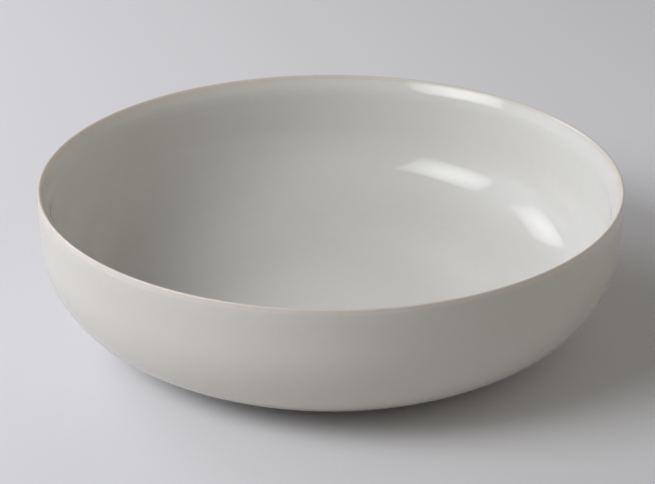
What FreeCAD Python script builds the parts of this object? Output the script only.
import FreeCAD, Part
import Sketcher
import math
import os

# Shallow laboratory evaporating dish: one fired piece of porcelain, glazed inside and out, with a
# bare, smoothed lip. Millimetres, +Z up, origin at the centre of the plane the dish stands on.
#
# The wall section is a chain of tangent lines and arcs turned about the vertical axis:
#   outside: domed base - standing ring - under curve - corner curve - steep wall - lip
#   inside:  flat floor - under curve - corner curve - steep wall - bend - flare - inner lip curve - lip
# The glaze is two closed skins, each lying on the porcelain and stopping short of the lip.

os.makedirs("parts", exist_ok=True)
doc = FreeCAD.newDocument("evaporating_dish")

# ---------------------------------------------------------------- driving dimensions
DIMENSIONS = [
    ("rim_radius", 100.0),            # outside radius of the glazed wall, carried up to the lip height
    ("total_height", 54.0),           # standing plane to the top of the lip
    ("wall_draft", 1.0),              # degrees, outside wall leaning out towards the lip
    ("corner_radius", 34.3),          # outside corner curve
    ("under_radius", 60.0),           # flatter curve between the corner and the standing ring
    ("foot_radius", 50.6),            # outer radius of the flat standing ring
    ("recess_radius", 45.5),          # inner radius of the flat standing ring
    ("recess_depth", 0.7),            # rise of the base inside the standing ring
    ("rim_wall", 4.08),               # glazed wall thickness at lip height, before the lip is thinned
    ("inner_draft", 1.5),             # degrees, inside wall leaning out towards the lip
    ("inner_corner_radius", 26.0),    # inside corner curve
    ("inner_under_radius", 100.0),    # slow inside curve between the corner and the floor
    ("floor_radius", 40.0),           # radius of the flat inside floor
    ("floor_height", 3.6),            # glazed floor above the standing plane
    ("glaze_coat", 0.25),             # thickness of each glaze coat
    ("bend_radius", 12.0),            # porcelain curve from the inside wall into the sloping flare
    ("bend_drop", 8.12),              # centre of that curve below the top of the lip
    ("flare_radius", 16.0),           # slow curve of the flare, which thins the wall towards the lip
    ("flare_drop", 9.42),             # centre of that curve below the top of the lip
    ("inner_lip_radius", 2.0),        # tighter curve between the flare and the top of the lip
    ("inner_lip_drop", 1.80),         # centre of that curve below the top of the lip
    ("bare_lip", 1.4),                # bare porcelain, measured down from the top of the lip
    ("glaze_taper", 0.9),             # height over which each glaze coat thins out at its edge
]
WALL_STOP = 2.0       # the outside wall is first drawn to this far below the lip, then solved
OVERLAP_LIMIT = 0.5   # mm3 that two pieces may share

sheet = doc.addObject("Spreadsheet::Sheet", "dims")
for row, (alias, value) in enumerate(DIMENSIONS, 1):
    sheet.set(f"A{row}", alias.replace("_", " "))
    sheet.set(f"B{row}", repr(value))
    sheet.setAlias(f"B{row}", alias)
doc.recompute()
D = {alias: float(getattr(sheet, alias)) for alias, _ in DIMENSIONS}

TOP = D["total_height"]
COAT = D["glaze_coat"]
GLAZE_TOP = TOP - D["bare_lip"]                 # edge of each coat on the porcelain
GLAZE_FACE_TOP = GLAZE_TOP - D["glaze_taper"]   # edge of its full thickness

# The two surfaces of a coat: distance into the dish wall, and the same as an expression.
GLAZE_SURFACE = (0.0, "0")
PORCELAIN_SURFACE = (COAT, "dims.glaze_coat")

# Sketcher's numbers for its axes and for the points of a line or arc
H_AXIS, V_AXIS = -1, -2
START, END, CENTRE = 1, 2, 3
ORIGIN = (H_AXIS, START)
DOWN = -math.pi / 2


# ---------------------------------------------------------------- section geometry
def on_circle(centre, radius, angle):
    return (centre[0] + radius * math.cos(angle), centre[1] + radius * math.sin(angle))


class Face:
    """Under curve, corner curve and leaning wall of one glazed face, by their aliases.

    `inward` is the sign that takes a radius of the chain from the glaze face into the wall,
    and a rim radius likewise.
    """

    def __init__(self, under, corner, flat, draft, flat_height, rim, rim_text, inward):
        self.under, self.corner, self.flat, self.draft = under, corner, flat, draft
        self.rim, self.rim_text, self.inward = rim, rim_text, inward
        self.lean = math.radians(D[draft])
        self.under_centre = (D[flat], flat_height + D[under])
        # Distance from the origin to the wall line, square to the wall
        reach = rim * math.cos(self.lean) - TOP * math.sin(self.lean)
        gap = D[under] - D[corner]
        across = (reach - D[corner] - D[flat] * math.cos(self.lean)
                  + self.under_centre[1] * math.sin(self.lean))
        # Angle below the horizontal at which the under curve meets the corner curve
        self.meet = math.acos(across / gap) + self.lean
        self.corner_centre = on_circle(self.under_centre, gap, -self.meet)

    def radius(self, alias, inset):
        return D[alias] + self.inward * inset

    def rim_at(self, inset):
        """Radius of the wall line at the lip height."""
        return self.rim + self.inward * inset / math.cos(self.lean)


OUTER = Face("under_radius", "corner_radius", "foot_radius", "wall_draft",
             flat_height=0.0, rim=D["rim_radius"], rim_text="dims.rim_radius", inward=-1)
INNER = Face("inner_under_radius", "inner_corner_radius", "floor_radius", "inner_draft",
             flat_height=D["floor_height"], rim=D["rim_radius"] - D["rim_wall"],
             rim_text="dims.rim_radius - dims.rim_wall", inward=1)

# The bend centre lies at its own radius outside the inside wall.
bend_centre = (
    INNER.rim_at(COAT) - D["bend_drop"] * math.tan(INNER.lean)
    + D["bend_radius"] / math.cos(INNER.lean),
    TOP - D["bend_drop"])
# The flare takes over from the bend where the two curves have the same slope.
bend_to_flare = D["flare_radius"] - D["bend_radius"]
flare_turn = math.asin((D["flare_drop"] - D["bend_drop"]) / bend_to_flare)
flare_centre = (bend_centre[0] + bend_to_flare * math.cos(flare_turn), TOP - D["flare_drop"])


def flare_angle(radius, height):
    """Angle on the flare curve at a height."""
    return math.pi - math.asin((height - flare_centre[1]) / radius)


def flare_point(inset, height):
    radius = D["flare_radius"] + COAT - inset
    return on_circle(flare_centre, radius, flare_angle(radius, height))


class Section:
    """A body and its sketch on the XZ plane: local x is the radius, local y is the height."""

    def __init__(self, name, label, prefix):
        self.body = doc.addObject("PartDesign::Body", name)
        self.body.Label = label
        self.prefix = prefix
        self.sketch = self.body.newObject("Sketcher::SketchObject", prefix + "Section")
        plane = [f for f in self.body.Origin.OriginFeatures if f.Role == "XZ_Plane"][0]
        self.sketch.AttachmentSupport = [(plane, "")]
        self.sketch.MapMode = "FlatFace"
        self.dim_count = 0

    def line(self, start, end, construction=False):
        segment = Part.LineSegment(FreeCAD.Vector(*start, 0), FreeCAD.Vector(*end, 0))
        return self.sketch.addGeometry(segment, construction)

    def arc(self, centre, radius, start, end):
        circle = Part.Circle(FreeCAD.Vector(*centre, 0), FreeCAD.Vector(0, 0, 1), radius)
        return self.sketch.addGeometry(Part.ArcOfCircle(circle, start, end), False)

    def tie(self, *args):
        self.sketch.addConstraint(Sketcher.Constraint(*args))

    def dim(self, kind, refs, value, expression):
        """A dimension bound to the sheet."""
        self.dim_count += 1
        name = f"{kind.lower()}_{self.dim_count}"
        index = self.sketch.addConstraint(Sketcher.Constraint(kind, *refs, value))
        self.sketch.renameConstraint(index, name)
        self.sketch.setExpression("Constraints." + name, expression)

    def radius(self, arc, value, expression):
        self.dim("Radius", (arc,), value, expression)

    def height(self, point, value, expression):
        self.dim("DistanceY", (*ORIGIN, *point), value, expression)

    def from_axis(self, point, value, expression):
        self.dim("DistanceX", (*ORIGIN, *point), value, expression)

    def link(self, start, end, start_point, end_point):
        """A line that closes the gap between two points of the chains."""
        line = self.line(start, end)
        self.tie("Coincident", line, START, *start_point)
        self.tie("Coincident", line, END, *end_point)

    def bowl(self, face, inset, flat_start, flat_height, wall_end):
        """Flat, under curve, corner curve and wall, not yet tied."""
        under_radius = face.radius(face.under, inset)
        corner_radius = face.radius(face.corner, inset)
        flat = self.line((flat_start, flat_height), (D[face.flat], flat_height))
        under = self.arc(face.under_centre, under_radius, DOWN, -face.meet)
        corner = self.arc(face.corner_centre, corner_radius, -face.meet, -face.lean)
        wall = self.line(on_circle(face.corner_centre, corner_radius, -face.lean), wall_end)
        return flat, under, corner, wall

    def tie_bowl(self, pieces):
        self.tie("Horizontal", pieces[0])
        for piece, following in zip(pieces, pieces[1:]):
            self.tie("Tangent", piece, END, following, START)

    def size_bowl(self, face, surface, pieces):
        """Radii and wall slope; a point on the wall line at lip height sets its radius."""
        inset, inset_text = surface
        _, under, corner, wall = pieces
        sign = "+" if face.inward > 0 else "-"
        rim = face.rim_at(inset)
        mark = self.sketch.addGeometry(Part.Point(FreeCAD.Vector(rim, TOP, 0)), True)
        self.tie("PointOnObject", mark, START, wall)
        self.radius(under, face.radius(face.under, inset),
                    f"dims.{face.under} {sign} {inset_text}")
        self.from_axis((under, CENTRE), D[face.flat], f"dims.{face.flat}")
        self.radius(corner, face.radius(face.corner, inset),
                    f"dims.{face.corner} {sign} {inset_text}")
        self.dim("Angle", (wall,), math.pi / 2 - face.lean, f"90 deg - dims.{face.draft} * 1 deg")
        self.from_axis((mark, START), rim,
                       f"{face.rim_text} {sign} {inset_text} / cos(dims.{face.draft} * 1 deg)")
        self.height((mark, START), TOP, "dims.total_height")

    def outside(self, surface):
        """Domed base to outside wall. Returns its end on the axis and its end at the rim."""
        inset, inset_text = surface
        recess_radius, recess_depth = D["recess_radius"], D["recess_depth"]
        face_dome_radius = (recess_radius ** 2 + recess_depth ** 2) / (2 * recess_depth)
        dome_radius = face_dome_radius + inset
        dome_centre = (0.0, recess_depth - face_dome_radius)
        ring_rise = inset - dome_centre[1]
        ring_start = math.sqrt(dome_radius ** 2 - ring_rise ** 2)
        wall_end = (OUTER.rim_at(inset) - WALL_STOP * math.tan(OUTER.lean), TOP - WALL_STOP)

        dome = self.arc(dome_centre, dome_radius, math.atan2(ring_rise, ring_start), math.pi / 2)
        pieces = self.bowl(OUTER, inset, ring_start, inset, wall_end)
        ring, wall = pieces[0], pieces[-1]
        self.tie("PointOnObject", dome, CENTRE, V_AXIS)
        self.tie("PointOnObject", dome, END, V_AXIS)
        self.tie("Coincident", dome, START, ring, START)
        self.tie_bowl(pieces)
        if inset:
            self.height((ring, START), inset, inset_text)
        else:
            self.tie("PointOnObject", ring, START, H_AXIS)
        self.height((dome, END), recess_depth + inset, f"dims.recess_depth + {inset_text}")
        self.radius(dome, dome_radius, "(dims.recess_radius^2 + dims.recess_depth^2)"
                                       f" / (2 * dims.recess_depth) + {inset_text}")
        self.size_bowl(OUTER, surface, pieces)
        return (dome, END), (wall, END)

    def inside(self, surface, top_angle):
        """Floor to flare. Returns its end on the axis and its end at the rim."""
        inset, inset_text = surface
        bend_radius = D["bend_radius"] + COAT - inset
        flare_radius = D["flare_radius"] + COAT - inset
        floor_height = D["floor_height"] - inset
        wall_end = on_circle(bend_centre, bend_radius, math.pi - INNER.lean)

        pieces = self.bowl(INNER, inset, 0.0, floor_height, wall_end)
        floor, wall = pieces[0], pieces[-1]
        bend = self.arc(bend_centre, bend_radius, math.pi - flare_turn, math.pi - INNER.lean)
        flare = self.arc(flare_centre, flare_radius, top_angle, math.pi - flare_turn)
        self.tie("PointOnObject", floor, START, V_AXIS)
        self.tie_bowl(pieces)
        self.tie("Tangent", wall, END, bend, END)
        self.tie("Tangent", bend, START, flare, END)
        self.height((floor, START), floor_height, f"dims.floor_height - {inset_text}")
        self.size_bowl(INNER, surface, pieces)
        for arc, name, radius, centre in ((bend, "bend", bend_radius, bend_centre),
                                          (flare, "flare", flare_radius, flare_centre)):
            self.radius(arc, radius, f"dims.{name}_radius + dims.glaze_coat - {inset_text}")
            self.height((arc, CENTRE), centre[1], f"dims.total_height - dims.{name}_drop")
        return (floor, START), (flare, START)

    def turn(self):
        """Turns the section a full circle about the vertical axis and returns the body."""
        turning = self.body.newObject("PartDesign::Revolution", self.prefix + "Turning")
        turning.Profile = self.sketch
        turning.ReferenceAxis = (self.sketch, ["V_Axis"])
        turning.Angle = 360.0
        self.sketch.Visibility = False
        self.body.Tip = turning
        return self.body


# ---------------------------------------------------------------- pieces
def porcelain_body():
    """The whole dish under its glaze, with the bare lip."""
    section = Section("PorcelainBody", "porcelain_body", "Body")
    outer_axis, outer_rim = section.outside(PORCELAIN_SURFACE)

    # The inner lip curve starts where it and the flare have the same slope.
    lip_radius = D["inner_lip_radius"]
    flare_to_lip = D["flare_radius"] - lip_radius
    join_angle = math.pi - math.asin((D["flare_drop"] - D["inner_lip_drop"]) / flare_to_lip)
    inner_axis, inner_rim = section.inside(PORCELAIN_SURFACE, join_angle)
    lip_centre = on_circle(flare_centre, flare_to_lip, join_angle)

    # The top arc touches the outside wall, the top plane and the inner lip curve. For its first
    # position the wall is taken as upright, which leaves a quadratic for its radius.
    wall_radius = D["rim_radius"] - COAT
    across = wall_radius - lip_centre[0]
    above = TOP - lip_centre[1]
    half = across + above - lip_radius
    top_radius = half + math.sqrt(half ** 2 + lip_radius ** 2 - across ** 2 - above ** 2)
    top_centre = (wall_radius - top_radius, TOP - top_radius)
    top_angle = math.atan2(top_centre[1] - lip_centre[1], top_centre[0] - lip_centre[0])

    inner_lip = section.arc(lip_centre, lip_radius, top_angle, join_angle)
    section.radius(inner_lip, lip_radius, "dims.inner_lip_radius")
    section.height((inner_lip, CENTRE), TOP - D["inner_lip_drop"],
                   "dims.total_height - dims.inner_lip_drop")
    section.tie("Tangent", inner_lip, END, *inner_rim)
    top_arc = section.arc(top_centre, top_radius, -OUTER.lean, top_angle)

    # Construction line in the top plane, reaching past the lip on both sides
    guide_length = 4 * lip_radius
    guide_end = D["rim_radius"] + lip_radius
    guide = section.line((guide_end - guide_length, TOP), (guide_end, TOP), construction=True)
    section.tie("Horizontal", guide)
    section.height((guide, START), TOP, "dims.total_height")
    section.dim("DistanceX", (guide, START, guide, END), guide_length,
                "4 * dims.inner_lip_radius")
    section.from_axis((guide, END), guide_end, "dims.rim_radius + dims.inner_lip_radius")

    section.tie("Tangent", top_arc, START, *outer_rim)
    section.tie("Tangent", top_arc, END, inner_lip, START)
    section.tie("Tangent", top_arc, guide)
    section.link((0.0, D["recess_depth"] + COAT), (0.0, D["floor_height"] - COAT),
                 outer_axis, inner_axis)
    return section.turn()


def close_glaze(section, face, back, face_edge, back_edge, face_height, back_height):
    """Closes a skin between its two surfaces, at its tapered edge and on the axis."""
    face_axis, face_rim = face
    back_axis, back_rim = back
    section.height(face_rim, GLAZE_FACE_TOP, "dims.total_height - dims.bare_lip - dims.glaze_taper")
    section.height(back_rim, GLAZE_TOP, "dims.total_height - dims.bare_lip")
    section.link(face_edge, back_edge, face_rim, back_rim)
    section.link((0.0, face_height), (0.0, back_height), face_axis, back_axis)
    return section.turn()


def outside_glaze():
    """Skin from under the lip, down the outside and across the base."""
    section = Section("OutsideGlaze", "outside_glaze", "OutsideGlaze")
    face = section.outside(GLAZE_SURFACE)
    back = section.outside(PORCELAIN_SURFACE)
    return close_glaze(
        section, face, back,
        (D["rim_radius"], GLAZE_FACE_TOP), (D["rim_radius"] - COAT, GLAZE_TOP),
        D["recess_depth"], D["recess_depth"] + COAT)


def inside_glaze():
    """Skin from the floor up the inside to just under the lip."""
    section = Section("InsideGlaze", "inside_glaze", "InsideGlaze")
    face = section.inside(GLAZE_SURFACE, flare_angle(D["flare_radius"] + COAT, GLAZE_FACE_TOP))
    back = section.inside(PORCELAIN_SURFACE, flare_angle(D["flare_radius"], GLAZE_TOP))
    return close_glaze(
        section, face, back,
        flare_point(0.0, GLAZE_FACE_TOP), flare_point(COAT, GLAZE_TOP),
        D["floor_height"], D["floor_height"] - COAT)


bodies = [porcelain_body(), outside_glaze(), inside_glaze()]
doc.recompute()

# ---------------------------------------------------------------- check, then write
faults = []
for obj in doc.Objects:
    bad = [state for state in obj.State if state in ("Invalid", "Error")]
    if bad:
        faults.append(f"{obj.Label} is {bad}")
for body in bodies:
    if body.Shape.isNull() or not body.Shape.isValid():
        faults.append(f"{body.Label} has a null or invalid shape")
    elif len(body.Shape.Solids) != 1:
        faults.append(f"{body.Label} has {len(body.Shape.Solids)} solids")
if faults:
    raise RuntimeError("; ".join(faults))

for i, first in enumerate(bodies):
    for second in bodies[i + 1:]:
        shared = first.Shape.common(second.Shape).Volume
        if shared > OVERLAP_LIMIT:
            faults.append(f"{first.Label} and {second.Label} overlap by {shared:.2f} mm3")
if faults:
    raise RuntimeError("; ".join(faults))

for body in bodies:
    body.Shape.exportStep(os.path.join("parts", body.Label + ".step"))
